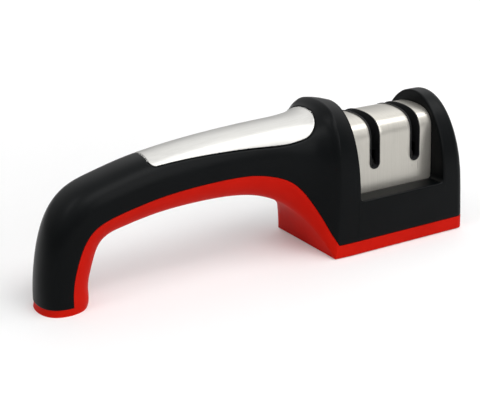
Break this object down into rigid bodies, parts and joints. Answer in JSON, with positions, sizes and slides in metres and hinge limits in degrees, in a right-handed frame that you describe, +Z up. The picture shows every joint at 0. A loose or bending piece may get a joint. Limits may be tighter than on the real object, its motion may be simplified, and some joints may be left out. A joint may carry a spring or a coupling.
{
  "type": "pull through knife sharpener",
  "caption": "Pull through knife sharpener: arched handle with a steel inlay, slotted steel head between ears, grinding wheels under the slots.",
  "frame": {"origin": "on the table, under the middle of the whole length and width", "axes": "+X from the handle's foot towards the head, +Y across the head along the knife's stroke, +Z up"},
  "size_m": [0.206, 0.0494, 0.0684],
  "materials": {
    "shell_black": "satin black moulded plastic",
    "shell_red": "satin red moulded plastic",
    "liner_black": "matt black moulded plastic",
    "cover_steel": "brushed along the head",
    "inlay_steel": "satin",
    "pin_steel": "turned",
    "screw_steel": "zinc plated",
    "clip_steel": "spring steel",
    "hub_plastic": "white low-friction plastic",
    "diamond_grit": "steel with a bonded diamond grit face",
    "dark_ceramic": "fine dark ceramic",
    "pad_rubber": "matt rubber"
  },
  "bodies": {
    "sharpener": {"upper_shell": "shell_black", "lower_shell": "shell_red", "handle_inlay": "inlay_steel", "head_cover": "cover_steel", "blade_guide": "liner_black", "wheel_carrier": "liner_black", "coarse_axle": "pin_steel", "fine_axle": "pin_steel", "coarse_washers": "pin_steel", "fine_washers": "pin_steel", "axle_clips": "clip_steel", "carrier_screws": "screw_steel", "base_screws": "screw_steel", "handle_screws": "screw_steel", "inlay_clips": "clip_steel", "base_pad": "pad_rubber"},
    "coarse_wheels": {"coarse_wheel_left": "diamond_grit", "coarse_wheel_right": "diamond_grit", "coarse_hub": "hub_plastic"},
    "fine_wheels": {"fine_wheel_left": "dark_ceramic", "fine_wheel_right": "dark_ceramic", "fine_hub": "hub_plastic"}
  },
  "joints": [
    {"name": "coarse_spin", "type": "hinge", "parent": "sharpener", "child": "coarse_wheels", "pos_m": [0.0559, 0, 0.0305], "axis": [1, 0, 0], "continuous": true},
    {"name": "fine_spin", "type": "hinge", "parent": "sharpener", "child": "fine_wheels", "pos_m": [0.0788, 0, 0.0305], "axis": [1, 0, 0], "continuous": true}
  ]
}
